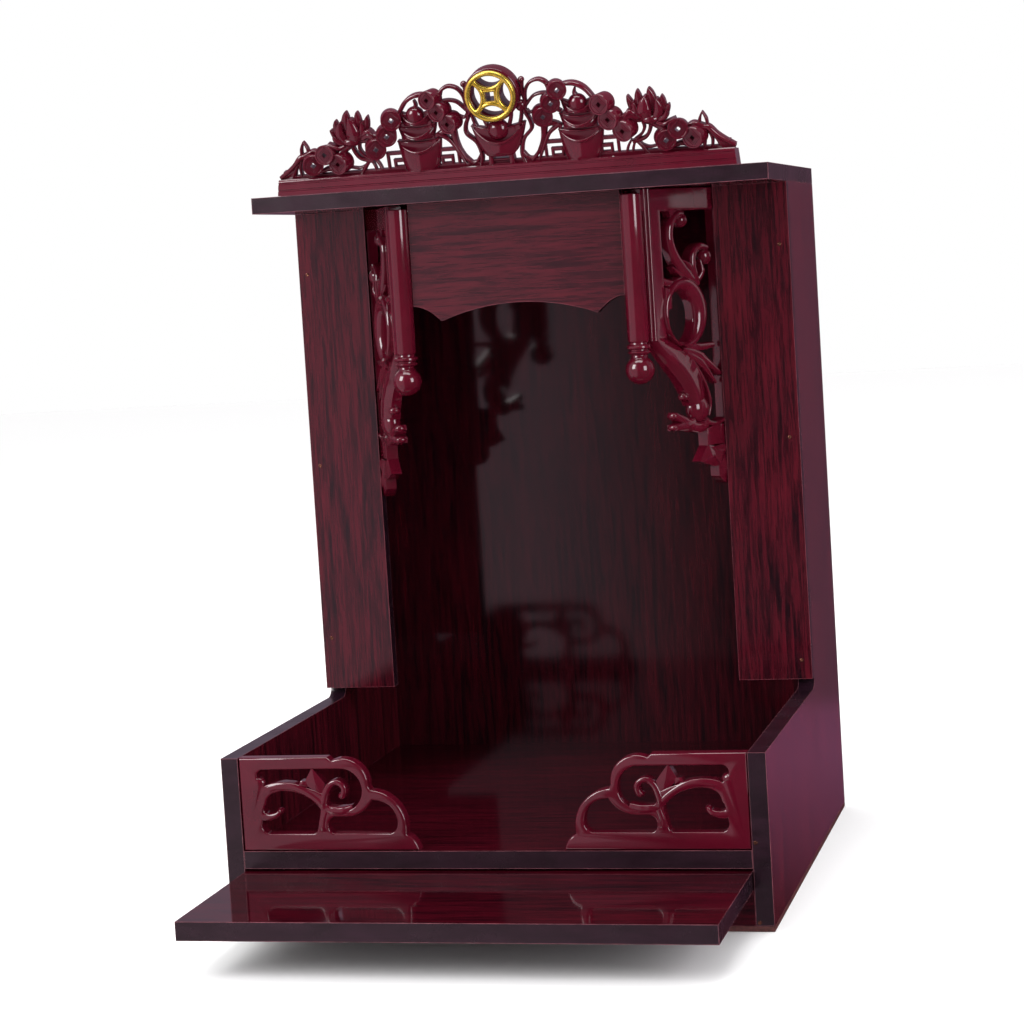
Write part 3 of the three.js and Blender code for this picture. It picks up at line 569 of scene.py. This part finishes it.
def crest_right(m):
    ribbons = [
        # points, widths, front
        ([(21, 0), (18.8, 10), (22, 22), (30.3, 31), (30.2, 39), (26.5, 48), (27.8, 57), (26, 66),
          (27, 77)], [4, 3.4, 3.2, 3.2, 3], [1.5, 1, 2, 1, 0.5]),
        ([(19, 33), (22, 42), (24, 52)], [3.6, 2.6], 1),
        ([(10, 36), (12.5, 43), (14, 52)], [3.6, 2.8], 0.5),
        ([(20, 54), (28, 53)], [9, 8], 1),
        ([(27.5, 55), (28.8, 66), (34, 73.5), (42, 76), (48.5, 73), (51, 68)], [2.8, 3, 3.6], [1, 1.5, 3]),
        ([(28, 53), (35, 60.5), (42, 63), (49, 63)], [3, 2.6], [0.5, 2]),
        ([(28, 49), (31, 46), (38, 49)], 2.6, 0.5),
        ([(43, 38), (41, 24), (36.5, 12), (28, 2)], [7, 4.6, 3.4, 3.6], [3, 2, 1.5]),
        ([(41.5, 36), (39.5, 22), (33, 8)], [1.4, 1.2], [4, 2.6]),
        ([(57, 34), (46.5, 26), (40, 14), (34, 2)], [5, 3.6, 2.6, 2.2], [3, 1]),
        ([(31, 3), (24.5, 4), (20, 10)], [4, 2.6], 1),
        ([(44, 34), (51, 35), (59, 31)], [5, 4.4], [4, 2]),
        ([(50, 51), (60, 45)], [4, 3], 1.5),
        ([(60, 69), (68, 70.5), (76, 69.5), (84, 64.5), (91, 55)], [3, 4, 4, 3.4], [2, 4, 4, 3]),
        ([(121, 14), (117, 8), (114.5, 0)], 2.2, 0.5),
        ([(125, 14), (121.6, 7), (120.5, 0)], 2, 0.5),
        ([(124, 15), (130.5, 7), (135, 0)], [3, 3.4, 4.4], 1.5),
        ([(129, 9), (136, 6), (144, 7)], 2.2, 0.5),
        ([(140, 34), (139.2, 24), (134, 15.5), (122, 12)], [4.2, 3.2, 3.4, 4], [3, 1.5, 2]),
        ([(132, 33), (133.8, 25), (130.5, 18.5), (124, 14)], [2.4, 2.6], [2, 1]),
        ([(108, 29), (115, 33.5), (123, 37), (129, 34)], [5, 8, 6, 4], [4, 6, 4]),
        ([(116, 34), (122, 41), (128, 38)], [2, 4.4, 3], [6, 7, 5]),
        ([(112, 32), (120, 33), (131, 33)], [5, 7, 8], 2),
        ([(140, 31), (147, 25.5), (156, 19)], [8, 7, 6], [4, 3, 5]),
        ([(146, 29), (152, 27), (158, 29), (163, 31)], [3, 4, 3], [5, 6, 4]),
        ([(183.8, 20), (184, 28), (187, 35)], [2.4, 2.4, 0.8], 1),
        ([(190.4, 20), (190, 28), (187, 35)], [2.4, 2.4, 0.8], 1),
        ([(172, 23), (178, 25.5), (184, 23.5), (191, 20)], [2.4, 3.6, 4], [3, 4, 3]),
        ([(183, 20.5), (191, 20.5), (198, 13.8), (205, 8.3), (214, 2)],
         [4, 5.4, 4.2, 3.8, 4], [3, 4, 3, 2]),
        ([(208.5, 5), (209.5, 8.2)], [3, 1.4], 2),
        ([(186, 20), (187, 10), (185, 0)], [3, 3], 1),
        ([(190, 20), (193.8, 10), (192.5, 0)], [2.8, 2.4], 1),
        ([(194, 15), (199.2, 8), (203, 0)], [3, 4, 8], 1),
        ([(200, 7.5), (207, 4), (214, 0.5)], [5, 6, 3], 1),
        ([(157, 5), (166, 7.5), (174, 5)], [3, 5, 3], 1.5),
    ]
    for points, widths, front in ribbons:
        m.ribbon(points, widths, BACK, front)
    m.ball(26.8, 77, -1, 3, 3, 4)
    m.ball(23.5, 53.5, -0.5, 5, 5.5, 5)
    # key frets on both sides of the stack
    for x, way in ((39.8, 1), (109.3, -1)):
        for a, b, low, high in KEY_BARS:
            u, v = sorted((x + way * a, x + way * b))
            m.plate([(u, low), (v, low), (v, high), (u, high)], BACK, FACE, 0.5, 2)
    coins = [
        (58.8, 66.5, 8.8, 16, -4), (51.5, 55.1, 8.8, 16, 0), (42.9, 43.9, 9.2, 16, 4),
        (98.6, 50.4, 9.6, -16, -4), (105, 36.3, 9.6, -16, 0), (117.1, 25.2, 9.8, -16, 4),
        (165, 22, 9.3, 4, -12), (152, 13.6, 9.6, 16, 0), (179.4, 14.3, 9.8, -16, 0),
    ]
    for x, y, radius, turn, nod in coins:
        small_coin(m, x, y, radius, turn, nod)
    boat(m, 76, 43, 11, 56, 16, 45.5, 7, 1, 52)
    boat(m, 76, 30, 13, 43.5, 18.5, 32.5, 9, 2.5, 40)
    boat(m, 75.8, -1, 13, 29, 20.8, 19, 11, 3, 27)
    m.plate([(60, 24), (92, 24), (91, 46), (61, 46)], BACK, 1.5, 0.6, 1)
    m.ball(76, 52, 0, 8.8, 8.6, 8)
    m.ribbon([(75.5, 58), (74, 62), (75.2, 66.5)], [4.5, 3, 1.2], -3, 3, crown=1.4)
    petals = [
        # root, belly and tip, width, front heights
        ([(136, 32), (126, 42), (121.5, 55)], 8, [0, 1, 3]),
        ([(144, 31), (153, 36), (158.5, 44.5)], 8, [0, 1, 3]),
        ([(145, 32), (152, 42), (152.5, 53)], 8, [0, 2, 3]),
        ([(137, 33), (132, 46), (131, 59.5)], 9, [0, 2, 3]),
        ([(141, 33), (143, 48), (141.5, 60.5)], 10, [0, 2, 2]),
        ([(143, 31), (149, 40), (148, 51)], 9, [3, 6, 6]),
        ([(138, 29), (136, 41), (138, 54)], 13, [3, 9, 7]),
        ([(134, 31), (128.5, 40), (127, 50)], 7, [3, 5, 5]),
        ([(147, 30), (154, 34), (156, 40)], 6, [3, 4, 4]),
    ]
    for line, width, fronts in petals:
        m.ribbon(line, [share * width for share in (0.35, 0.85, 1, 0.9, 0.6, 0.12)], BACK, fronts, 14, 2.6)
    m.ball(140, 32, -1, 9, 5, 8)


crest = Moulding()
crest_right(crest)
crest.mirror()
crest.plate([(-213, -4), (213, -4), (211, 3), (150, 3.6), (0, 3.9), (-150, 3.6), (-211, 3)],
            BACK, FACE + 0.5, 0.8)
boat(crest, 0, 9.5, 10, 38, 25.5, 22, 10, 2.5, 34)
crest.ball(0, 33, 0, 10.2, 10, 9)
for side in (-1, 1):
    foot, head = side * 10, side * 9.5
    crest.plate([(foot - 2.4, -1), (foot + 2.4, -1), (head + 2, 10.5), (head - 2, 10.5)], BACK, 5, 0.8)
crest.plate([(-10, -1), (10, -1), (10, 2.2), (-10, 2.2)], BACK, 4, 0.8)
crest.ribbon([(-9, 5.3), (9, 5.3)], 2.2, BACK, 3)


def pierced_coin(m, radius, inner, back, front, bar, crown):
    """A ring crossed by four arcs that leave a square hole in the middle."""
    rings = []
    for k in range(9):
        angle = math.pi * k / 8
        middle, half = (radius + inner) / 2, (radius - inner) / 2
        rings.append([(x, y, front - crown * (1 - math.sin(angle))) for x, y in
                      circle(0, 0, middle + half * math.cos(angle), count=64)])
    rings += [[(x, y, back) for x, y in circle(0, 0, inner, count=64)], [(x, y, back) for x, y in
              circle(0, 0, radius, count=64)]]
    m.loft(rings, loop=True)
    for quarter in range(4):
        out = quarter * math.pi / 2
        centre = (22.6 * math.cos(out), 22.6 * math.sin(out))
        line = [(centre[0] + 15.6 * math.cos(a), centre[1] + 15.6 * math.sin(a)) for a in (
            out + math.pi + (k / 6 - 1) * math.radians(62) for k in range(13))]
        m.ribbon(line, bar, back, front - 0.25 * crown, 30, crown * 0.8)
    outer = polygon(0, 0, 8.6, 48, turn=math.pi / 4)
    middle = polygon(0, 0, 7.4, 48, turn=math.pi / 4)
    hole = polygon(0, 0, 6.1, 48, turn=math.pi / 4)
    levels = ((outer, back), (outer, front - 0.9), (middle, front - 0.2), (hole, front - 0.8), (hole, back))
    m.loft([[(x, y, z) for x, y in ring] for ring, z in levels], loop=True)


first = len(crest.parts)
pierced_coin(crest, 25, 18.6, -4, 12, 2.8, 1.2)
crest.place(Matrix.Translation((0, 67.5, 0)), first)

# the rail, upright under the leaning openwork
first = len(crest.parts)
profile = [(0, -14.8), (0, -11.4), (0.9, -10.8), (0.9, -9.9), (0, -9.2), (0, -5), (0.9, -4.4),
           (0.9, -3.6), (0.3, -3), (0.6, -1.2), (1.8, 0), (24, 0), (24, -14.8)]
crest.loft([[(x - (0.1 * y if k in (0, 3) else 0) * (-1 if k < 2 else 1), y, 8.8 - d) for d, y in profile]
            for k, x in enumerate((-214, -213.4, 213.4, 214))])
crest.place(Matrix.Rotation(-LEAN, 4, "X"), first)
crest.fuse("crest_openwork", lean_place, plastic, "crest")

coin = Moulding()
pierced_coin(coin, 23.4, 18.9, 12.35, 16.8, 3.4, 1.9)
coin.place(Matrix.Translation((0, 67.5, 0)))
coin.fuse("gold_coin_plated", lean_place, gold, "gold_coin")


# ---------- corner fretworks ----------
# Drawn as the right one: x from the cabinet's middle, y up from its foot and z forwards from its back.
def arc(x, y, radius, start, end, steps=10):
    return [(x + radius * math.cos(math.radians(start + (end - start) * i / steps)),
             y + radius * math.sin(math.radians(start + (end - start) * i / steps))) for i in range(steps + 1)]


def bend(a, b, c, steps=6):
    """The rest of a curve from a, drawn towards b, to c."""
    return [tuple((1 - t) ** 2 * p + 2 * t * (1 - t) * q + t * t * r for p, q, r in zip(a, b, c))
            for t in (i / steps for i in range(1, steps + 1))]


fret_low, fret_high = (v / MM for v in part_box("fretwork_right"))
inner, outer, height = fret_low.x, fret_high.x, fret_high.z - fret_low.z
outline = [(inner, 0), (outer, 0), (outer, height), (143, height)]
outline += arc(130, 57.5, 23.3, 66, 184, 18) + arc(107.5, 19.5, 33.3, 94, 190, 18)
outline += bend(outline[-1], (inner + 3, 11), (inner, 0), 4)[:-1]
upper_slot = arc(131.5, 53, 18.5, 90, 318, 30) + bend((145.2, 40.6), (147, 45), (149, 50), 2)
upper_slot += bend((149, 50), (168, 58.5), (184, 60.5)) + bend((184, 60.5), (196, 60.5), (202.5, 57), 4)
upper_slot += arc(202, 65.5, 6, -60, 90, 8)[1:]
outer_opening = [(159, 15)] + arc(199, 22, 7, -90, 0, 6) + [(204, 33)]
outer_opening += bend((204, 33), (204, 37), (201, 41), 3)
outer_opening += bend((201, 41), (200, 52), (184, 52.5)) + bend((184, 52.5), (164, 52.5), (151, 36), 8)
outer_opening += bend((151, 36), (153.5, 26), (155, 19), 4)
outer_opening += bend((155, 19), (155.6, 15.4), (159, 15), 3)[:-1]
inner_opening = [(142, 15.6), (140, 15), (89, 15)] + bend((89, 15), (82, 17), (82.5, 26))
inner_opening += bend((82.5, 26), (85, 43), (104, 44)) + bend((104, 44), (112, 30), (128, 29.5))
inner_opening += [(139, 29.5)] + bend((139, 29.5), (146, 27.5), (145, 20), 4)
inner_opening += bend((145, 20), (144.6, 17), (142, 15.6), 2)[:-1]

fretwork = Moulding()
fretwork.pierced([(outline, 2.0), (upper_slot, 1.4), (outer_opening, 1.4), (inner_opening, 1.4)], 0, 11.4, 4)
fretwork.ribbon([(146, 33), (150.5, 41), (160, 49), (172, 55), (184, 56.6), (196, 55), (206, 48)],
                [5, 7, 7, 7.4, 7.4, 7.6, 9], 0.5, [10.5, 11.9, 12, 12, 12, 12, 11], 40, 2.2)
fretwork.ribbon([(149, 34), (148.5, 42), (145, 53), (139.5, 59), (133.5, 59), (129.3, 54.5), (130.5, 48.5),
                 (133, 46.5)], [6, 6.4, 6, 5.4, 5.2, 5.2, 5.4, 5.2], 0.5,
                [11, 12, 12, 12, 12, 12, 11.6, 11], 44, 2.0)
fretwork.ball(132.4, 47.6, 6, 3.2, 3.2, 5.8)
fretwork.ribbon([(209, 39), (206, 31), (199, 29.5), (192, 31.5), (188.5, 35)], [11, 8.5, 6.4, 5, 4], 0.5,
                [10.8, 11.6, 12, 12, 11.4], 30, 2.0)
fretwork.ball(189, 34.6, 6, 2.9, 2.9, 5.8)
fretwork.ribbon([(147, 34), (149.5, 26), (150.2, 20), (149.5, 12)], [6, 6, 7, 12], 0.5,
                [11.8, 11.9, 11.9, 10.6], 20, 2.0)
fretwork.ribbon([(122, 37), (131, 34.5), (140, 34.5), (148, 37)], [6, 8, 8, 6], 0.5,
                [10.8, 11.9, 11.9, 11], 20, 2.2)
fretwork.facet([(146, 58.5), (149.5, 46.5), (165, 59.5), (157, 73)], 0.5, 10.4, (154.5, 60), 12)
fretwork.facet([(162, 56), (170, 57), (168, 61.5), (163, 61)], 0.5, 10.8, (166, 59), 12)
fretwork.ball(208, 59.5, 7, 7, 5.5, 4.9)
fret_place = Matrix.Translation((0, fret_high.y, fret_low.z)) @ Matrix.Rotation(math.pi / 2, 4, "X")
right_fret = fretwork.fuse("fretwork_right_moulded", fret_place, plastic, "fretwork_right")
twin(right_fret, "fretwork_left_moulded", "fretwork_left")


# ---------- corner brackets with their pendants ----------
# Drawn as the right one: x from the pendant's axis out to the pilaster, y up (the height in the
# cabinet) and z out of the carved face.
PENDANT = Vector((110.5, -30, 0))
FOOT, TOP = 449.5, 626.1
BALL = 13.3  # the pendant ball's radius
pilaster_low, pilaster_high = (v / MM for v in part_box("pilaster_right"))
lintel_low, lintel_high = (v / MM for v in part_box("lintel_board"))
reach = Vector((pilaster_low.x - PENDANT.x, pilaster_high.y + 1.3 - PENDANT.y, 0)).normalized()
bracket_place = Matrix((reach, (0, 0, 1), reach.cross((0, 0, 1)))).transposed().to_4x4()
bracket_place.translation = PENDANT

bracket = Moulding()
bracket.plate([(11, 489), (34, 489), (34, TOP), (11, TOP)], -6, 5.2, 1.0)
bracket.plate([(8, 606), (119, 606), (119, TOP), (8, TOP)], -6, 5.4, 1.0)
bracket.ribbon([(17.2, 488), (17.2, 556), (17.2, TOP)], 3.6, -5, 7.2, 8, 1.6)
bracket.ribbon([(12.6, 488), (12.6, 556), (12.6, TOP)], 2.4, -5, 6.2, 8, 1.1)
bracket.plate([(112.6, 384), (122, 384), (122, TOP), (112.6, TOP)], -6, 6, 0.8)
bracket.ribbon([(111, 390), (111, 500), (111, 608)], 3.4, -5, 5, 12, 1.6)
bracket.ribbon([(34, 606.8), (70, 606.8), (111, 606.8)], 3.0, -5, 4.8, 8, 1.4)


def crescent(m, outer, hole, back, front, flank=7, rows=10):
    """A ring that is thick on one side, with straight flanks and a rounded top."""
    rings = []
    for k in range(rows + 1):
        angle = math.pi * k / rows
        share = 0.5 - 0.5 * math.cos(angle)
        level = back + flank + (front - back - flank) * math.sin(angle) ** 0.8
        rings.append([((1 - share) * a + share * c, (1 - share) * b + share * d, level)
                      for (a, b), (c, d) in zip(outer, hole)])
    rings = [[(x, y, back) for x, y in outer]] + rings + [[(x, y, back) for x, y in hole]]
    m.loft(rings, loop=True)


crescent(bracket, circle(61, 512, 31.5, 33, 56), circle(55, 508, 19, 24.5, 56), -6, 9)
bracket.plate([(33, 514), (41, 516), (41.5, 533), (33, 536)], -5, 7.5, 1.0)
bracket.ribbon([(34, 541), (45, 539), (56, 541)], [8, 6, 3], -5, [5, 6, 4], 14, 2)
# the upper scrolls and the little leaves at their root
bracket.ribbon([(80, 538), (70, 545), (61, 553), (51, 566), (46, 581), (49, 594), (58, 602), (66, 602)],
               [8, 12, 12, 10.5, 9, 8.5, 8, 7], -4, [6, 7.5, 7.5, 7, 7, 7, 7, 6], 44, 4.2)
bracket.ball(65.5, 596.5, 0.5, 7.2, 7.2, 7.2)
bracket.plate([(48, 600), (62, 602), (64, 609), (46, 609)], -4, 5, 0.8)
bracket.ribbon([(82, 536), (77, 547), (75, 558), (79, 567.5), (88, 571.5), (98, 570)],
               [9, 8, 7.5, 7.5, 7.5, 6], -4, [6, 8, 8, 7.5, 7, 6], 36, 3.4)
bracket.ball(96.5, 562, 0.5, 8, 8, 7.6)
bracket.ribbon([(75, 541), (62, 545), (49, 554)], [5, 5, 1.5], -4, [5, 6, 4], 16, 1.8)
bracket.ribbon([(77, 545), (69, 555), (60, 560)], [4, 4.4, 1.2], -4, [6, 8, 6], 14, 1.6)
bracket.ribbon([(84, 541), (88, 549), (86, 559)], [5, 4.4, 1.4], -4, [6, 8, 6], 14, 1.6)
# the lower leaf: two faces falling from a ridge, and a ball at its end
bracket.ribbon([(18, 494), (30, 482.5), (43, 472), (57, 460), (68, 445), (74, 428)], [10, 19, 24, 27, 27, 22],
               -6, [5.5, 7, 9, 10, 10.5, 9.5], 40, 5.2, ridge=0.22)
bracket.ball(76, 421, 0.5, 13, 13.5, 9.4, 32, 14)
bracket.ribbon([(62, 473), (76, 456), (85.5, 440), (89.5, 426), (87, 414)], [3, 3, 3, 3, 2.4], -5,
               [6, 6.8, 7, 7, 6], 26, 1.4)
bracket.ball(58, 433.5, 0.5, 5.4, 4.2, 6)
bracket.ribbon([(86, 409), (76, 404), (64, 405.5), (52, 412), (41, 418)], [9, 10, 9.5, 8, 5], -6,
               [7, 8, 8, 7.5, 6], 30, 3.4)
bracket.ribbon([(66, 409), (54, 407), (40, 406)], [9, 9, 5.4], -6, [7, 8.4, 6], 18, 3)
bracket.ball(41.5, 417, 0, 3.6, 3.6, 5)
bracket.ball(40.5, 406.3, 0, 3.6, 3.2, 5.4)
# leaflets towards the outer stile
bracket.ribbon([(52, 483), (76, 478.5), (101, 479.5)], [5, 8, 5], -4, [5, 6.5, 5], 18, 2)
bracket.ribbon([(56, 478), (80, 469), (113, 449)], [5, 10, 2.4], -4, [6, 7.4, 5], 24, 2.6)
bracket.ribbon([(60, 474), (80, 463), (101, 443.5)], [5, 8, 2], -4, [6.5, 8, 5], 22, 2.4)
# the flat block and the faceted drooping leaves
bracket.plate([(83, 386), (122, 386), (122, 405), (96, 405), (83, 402)], -6, 5.6, 1.0)
bracket.ribbon([(80, 409), (96, 405.5), (112, 410)], [4, 4.4, 3], -5, 7, 14, 1.6)
bracket.facet([(84, 387), (94, 384), (100, 366), (92, 365.5), (72, 372)], -6, 4.5, (87, 375), 7.5)
bracket.facet([(88, 384), (117, 387), (99, 366.5)], -6, 5.5, (100, 379), 8.8)
bracket.facet([(98, 368), (118, 387), (122, 387), (122, 346.5), (106, 349), (98, 356)], -6, 4.5,
              (111, 365), 8)
# the pendant: a rod, two rings and a ball
profile = [(9.0, 622.5), (9.8, 621.7), (9.8, 489.6), (9.4, 488.8), (8.2, 487.4), (8.4, 486.3), (10.2, 485.6),
           (11.1, 484.6), (11.1, 483), (10.2, 482), (8.6, 481.3), (8.6, 480.4), (9.9, 479.8), (10.4, 478.8),
           (9.8, 477.8), (7.8, 477), (7.2, 476)]
profile += [(BALL * math.sin(math.radians(a)), FOOT + BALL * (1 + math.cos(math.radians(a))))
            for a in range(36, 174, 9)]
bracket.turned(profile, count=48)
cuts = [((pilaster_low.x - GAP, pilaster_low.y - GAP, 200), (300, 200, 700)),
        ((-300, lintel_low.y - GAP, lintel_low.z - 2 * GAP), (lintel_high.x + GAP, lintel_high.y + GAP, 700))]
right_bracket = bracket.fuse("bracket_right_moulded", bracket_place, plastic, "bracket_right", cuts)
twin(right_bracket, "bracket_left_moulded", "bracket_left")


# ---------- nail heads ----------
NAIL_PROFILE = ((1.5, 0.05), (1.7, 0.25), (1.5, 0.45), (0.9, 0.35), (0.3, 0.15))  # radius and height
PILASTER_NAILS = (("left", -231.5, (567.7, 380.7, 210.6)), ("right", 230.7, (568.8, 389.1, 178.9)))
SIDE_NAIL_X, SIDE_NAIL_HEIGHTS = 227.6, (74.9, 7.5)


def nail(name, x, y, z):
    """A small dished head standing a little proud of a face that looks forwards."""
    m = Moulding()
    m.loft([[(u, v, level) for u, v in circle(0, 0, radius, count=16)] for radius, level in NAIL_PROFILE])
    piece = solid_object(name, *m.parts[0])
    facing = Matrix.Rotation(math.pi / 2, 4, "X")
    piece.data.transform(Matrix.Scale(MM, 4) @ Matrix.Translation((x, y, z)) @ facing)
    piece.data.materials.append(metal)
    piece.data.shade_smooth()
    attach(piece, "cabinet")


for side, x, heights in PILASTER_NAILS:
    for k, z in enumerate(heights):
        nail("nail_pilaster_%s_%d" % (side, k + 1), x, pilaster_low.y, z)
for k, z in enumerate(SIDE_NAIL_HEIGHTS):
    nail("nail_side_right_%d" % (k + 1), SIDE_NAIL_X, fret_low.y, z)


# ---------- floor, light and camera ----------
floor_mesh = bpy.data.meshes.new("floor")
floor_mesh.from_pydata([(-6, -1.6, 0), (6, -1.6, 0), (6, 9, 0), (-6, 9, 0)], [], [(0, 1, 2, 3)])
floor = bpy.data.objects.new("floor", floor_mesh)
floor.location.z = -0.0005
floor_mesh.materials.append(Shader("pale_floor").finish((0.97, 0.97, 0.97, 1), 0.9))
floor.visible_glossy = False
scene.collection.objects.link(floor)

world = bpy.data.worlds.new("studio")
scene.world = world
world.use_nodes = True
tree = world.node_tree
tree.nodes.clear()
output = tree.nodes.new("ShaderNodeOutputWorld")
path = tree.nodes.new("ShaderNodeLightPath")
direction = tree.nodes.new("ShaderNodeTexCoord")
split = tree.nodes.new("ShaderNodeSeparateXYZ")
tree.links.new(direction.outputs["Generated"], split.inputs[0])


def background(strength=1.0, colour=(1, 1, 1)):
    node = tree.nodes.new("ShaderNodeBackground")
    node.inputs[0].default_value = (*colour, 1)
    node.inputs[1].default_value = strength
    return node


def chosen(factor, a, b):
    node = tree.nodes.new("ShaderNodeMixShader")
    tree.links.new(factor, node.inputs[0])
    tree.links.new(a.outputs[0], node.inputs[1])
    tree.links.new(b.outputs[0], node.inputs[2])
    return node


def between(value, low, high):
    """0 where the value is at the low number, 1 where it is at the high one; either may be the larger."""
    node = tree.nodes.new("ShaderNodeMapRange")
    tree.links.new(value, node.inputs[0])
    for i, number in enumerate((low, high, 0.0, 1.0)):
        node.inputs[i + 1].default_value = number
    return node.outputs[0]


# What polished faces mirror: a pale wall to the left of the camera, a dim room to its right, and
# behind the cabinet a dark wall over a lilac strip of floor.
across, depth_way, rise = split.outputs
front_view = chosen(between(across, -0.17, -0.24), background(colour=DIM_ROOM), background(colour=PALE_WALL))
below = chosen(between(rise, -0.195, -0.25), background(colour=LILAC_STRIP), background(colour=DARK_STRIP))
wall = chosen(between(rise, 0.02, 0.12), background(colour=DARK_WALL), background(colour=UPPER_WALL))
back_view = chosen(between(rise, -0.178, -0.172), below, wall)
mirrored = chosen(between(depth_way, -0.05, 0.05), front_view, back_view)
lit = chosen(path.outputs["Is Glossy Ray"], background(AMBIENT), mirrored)
tree.links.new(chosen(path.outputs["Is Camera Ray"], lit, background()).outputs[0], output.inputs[0])


def softbox(name, place, aim, size, power, colour=(1, 1, 1)):
    data = bpy.data.lights.new(name, "AREA")
    data.shape = "RECTANGLE"
    data.size, data.size_y = size
    data.energy = power
    data.color = colour
    light = bpy.data.objects.new(name, data)
    light.location = place
    light.rotation_euler = (Vector(aim) - Vector(place)).to_track_quat("-Z", "Y").to_euler()
    scene.collection.objects.link(light)


softbox("key", (-1.9, -2.2, 1.9), (0, 0, 0.35), (1.4, 1.8), 85)
softbox("fill", (2.4, -1.7, 1.1), (0, 0, 0.3), (1.2, 1.6), 45, (1.0, 0.95, 1.0))
softbox("top", (0.0, -0.3, 2.3), (0, 0, 0.3), (1.6, 1.2), 30)

forward = Vector((-math.sin(YAW) * math.cos(PITCH), math.cos(YAW) * math.cos(PITCH), -math.sin(PITCH)))
level_right = Vector((math.cos(YAW), math.sin(YAW), 0))
level_up = level_right.cross(forward)
right = math.cos(ROLL) * level_right + math.sin(ROLL) * level_up
up = -math.sin(ROLL) * level_right + math.cos(ROLL) * level_up
camera_data = bpy.data.cameras.new("camera")
camera_data.lens = FOCAL_LENGTH
camera_data.sensor_width = SENSOR
camera_data.shift_x = SHIFT_X
camera_data.shift_y = SHIFT_Y
camera = bpy.data.objects.new("camera", camera_data)
turn = Matrix((right, up, -forward)).transposed().to_4x4()
camera.matrix_world = Matrix.Translation(CAMERA_PLACE) @ turn
scene.collection.objects.link(camera)
scene.camera = camera
scene.view_settings.view_transform = "Standard"
